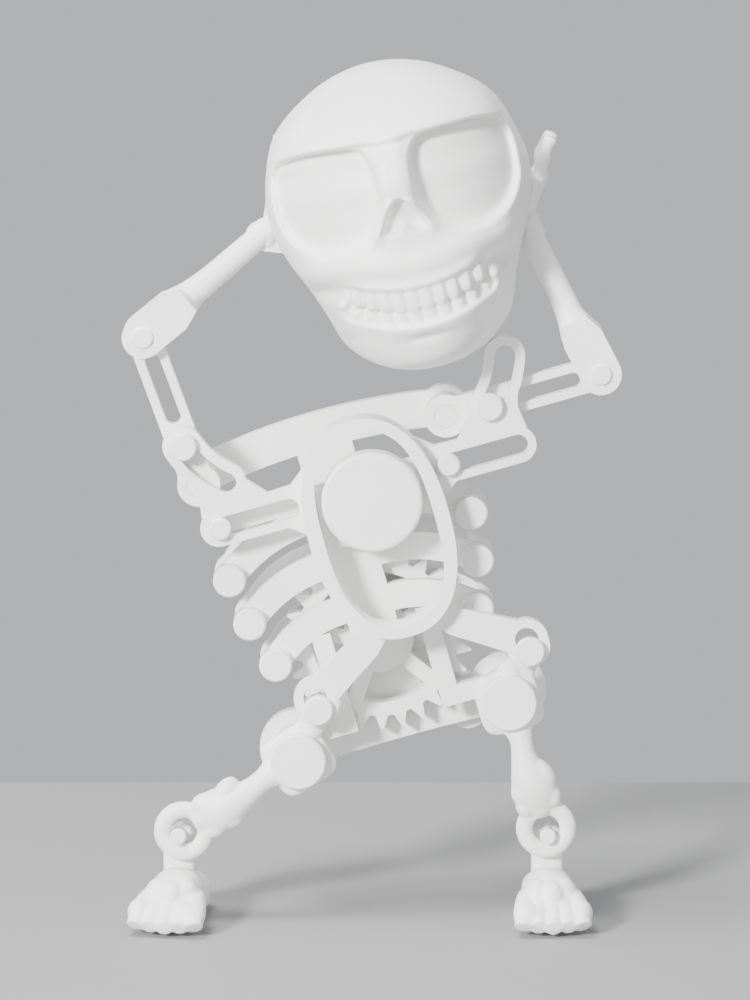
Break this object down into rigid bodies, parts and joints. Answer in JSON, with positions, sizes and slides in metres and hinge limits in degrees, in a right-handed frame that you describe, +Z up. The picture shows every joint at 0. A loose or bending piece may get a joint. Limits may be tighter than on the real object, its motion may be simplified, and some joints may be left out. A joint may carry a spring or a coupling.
{
  "type": "mechanical skeleton figure",
  "caption": "Hand-cranked white plastic skeleton that sways on two feet: an eccentric disc drives a sliding yoke, which rocks the hips and swings the arms and head.",
  "frame": {"origin": "centre of the figure's footprint box, on the plane that the soles stand on", "axes": "+Z up through the figure, -Y the way the figure faces, +X to the right of someone facing it"},
  "size_m": [0.0968, 0.0534, 0.1705],
  "materials": {
    "bone_plastic": "satin warm white printed plastic, fine layer lines",
    "works_plastic": "satin warm white printed plastic",
    "pin_plastic": "smooth white plastic"
  },
  "bodies": {
    "foot_left": {"foot_left": "bone_plastic", "ankle_pin_left": "pin_plastic"},
    "leg_left": {"leg_left": "bone_plastic", "leg_pin_left": "pin_plastic"},
    "torso": {"front_ribs": "works_plastic", "back_frame": "works_plastic", "rib_post_left_1": "pin_plastic", "rib_post_left_2": "pin_plastic", "rib_post_left_3": "pin_plastic", "guide_pin_left": "pin_plastic", "shoulder_pin_left": "pin_plastic", "hip_pin_left": "pin_plastic", "rib_post_right_1": "pin_plastic", "rib_post_right_2": "pin_plastic", "rib_post_right_3": "pin_plastic", "guide_pin_right": "pin_plastic", "shoulder_pin_right": "pin_plastic", "hip_pin_right": "pin_plastic"},
    "leg_right": {"leg_right": "bone_plastic", "leg_pin_right": "pin_plastic"},
    "foot_right": {"foot_right": "bone_plastic", "ankle_pin_right": "pin_plastic"},
    "yoke": {"yoke": "works_plastic"},
    "eccentric": {"eccentric_disc": "works_plastic", "pinion": "works_plastic"},
    "handle": {"drive_gear": "works_plastic", "handle_shaft": "works_plastic", "crank_arm": "works_plastic", "knob_pin": "pin_plastic"},
    "knob": {"crank_knob": "works_plastic"},
    "arm_left": {"upper_arm_left": "bone_plastic", "arm_peg_left": "pin_plastic"},
    "arm_right": {"upper_arm_right": "bone_plastic", "arm_peg_right": "pin_plastic"},
    "forearm_left": {"forearm_left": "bone_plastic", "elbow_pin_left": "pin_plastic", "hand_left": "bone_plastic"},
    "forearm_right": {"forearm_right": "bone_plastic", "elbow_pin_right": "pin_plastic", "hand_right": "bone_plastic"},
    "head": {"skull": "bone_plastic", "head_pin_left": "pin_plastic", "head_pin_right": "pin_plastic"}
  },
  "joints": [
    {"name": "ankle_left", "type": "hinge", "parent": "foot_left", "child": "leg_left", "pos_m": [-0.0382, -0.0048, 0.0176], "axis": [0, -1, 0], "range_deg": [0, 40.85]},
    {"name": "hip_left", "type": "hinge", "parent": "leg_left", "child": "torso", "pos_m": [-0.01452, -0.0048, 0.03291], "axis": [0, -1, 0], "range_deg": [-72.64, 0]},
    {"name": "hip_right", "type": "hinge", "parent": "torso", "child": "leg_right", "pos_m": [0.02684, -0.0048, 0.04467], "axis": [0, -1, 0], "range_deg": [0, 72.64]},
    {"name": "ankle_right", "type": "hinge", "parent": "leg_right", "child": "foot_right", "pos_m": [0.03475, -0.0048, 0.0176], "axis": [0, -1, 0], "range_deg": [-40.87, 0]},
    {"name": "yoke_slide", "type": "slide", "parent": "torso", "child": "yoke", "axis": [-0.9619, 0, -0.2735], "range_m": [0, 0.01362]},
    {"name": "eccentric_turn", "type": "hinge", "parent": "torso", "child": "eccentric", "pos_m": [-0.00511, -0.0048, 0.07842], "axis": [0, -1, 0], "range_deg": [0, 104.73]},
    {"name": "handle_turn", "type": "hinge", "parent": "torso", "child": "handle", "pos_m": [0.00121, -0.0048, 0.0562], "axis": [0, -1, 0], "range_deg": [-34.91, 0]},
    {"name": "knob_spin", "type": "hinge", "parent": "handle", "child": "knob", "pos_m": [0.01901, 0.0251, 0.0401], "axis": [0, -1, 0], "continuous": true},
    {"name": "shoulder_left", "type": "hinge", "parent": "torso", "child": "arm_left", "pos_m": [-0.03375, -0.0048, 0.08774], "axis": [0, -1, 0], "range_deg": [0, 86.04]},
    {"name": "shoulder_right", "type": "hinge", "parent": "torso", "child": "arm_right", "pos_m": [0.01435, -0.0048, 0.10142], "axis": [0, -1, 0], "range_deg": [0, 86.04]},
    {"name": "elbow_left", "type": "hinge", "parent": "arm_left", "child": "forearm_left", "pos_m": [-0.04435, -0.0048, 0.11708], "axis": [0, -1, 0], "range_deg": [-31.12, 0]},
    {"name": "elbow_right", "type": "hinge", "parent": "arm_right", "child": "forearm_right", "pos_m": [0.04435, -0.0048, 0.10995], "axis": [0, -1, 0], "range_deg": [-31.12, 0]},
    {"name": "head_turn", "type": "hinge", "parent": "forearm_left", "child": "head", "pos_m": [-0.00787, -0.0048, 0.13557], "axis": [0, -1, 0], "range_deg": [-48.05, 0]}
  ],
  "couplings": [
    {"joint": "hip_left", "follows": "ankle_left", "ratio": -1.7773},
    {"joint": "hip_right", "follows": "ankle_left", "ratio": 1.7773},
    {"joint": "ankle_right", "follows": "ankle_left", "ratio": -1},
    {"joint": "yoke_slide", "follows": "ankle_left", "m_per_rad": 0.019099},
    {"joint": "eccentric_turn", "follows": "ankle_left", "ratio": 2.5626},
    {"joint": "handle_turn", "follows": "ankle_left", "ratio": -0.85419},
    {"joint": "shoulder_left", "follows": "ankle_left", "ratio": 2.1053},
    {"joint": "shoulder_right", "follows": "ankle_left", "ratio": 2.1053},
    {"joint": "elbow_left", "follows": "ankle_left", "ratio": -0.76134},
    {"joint": "elbow_right", "follows": "ankle_left", "ratio": -0.76134},
    {"joint": "head_turn", "follows": "ankle_left", "ratio": -1.1757}
  ]
}
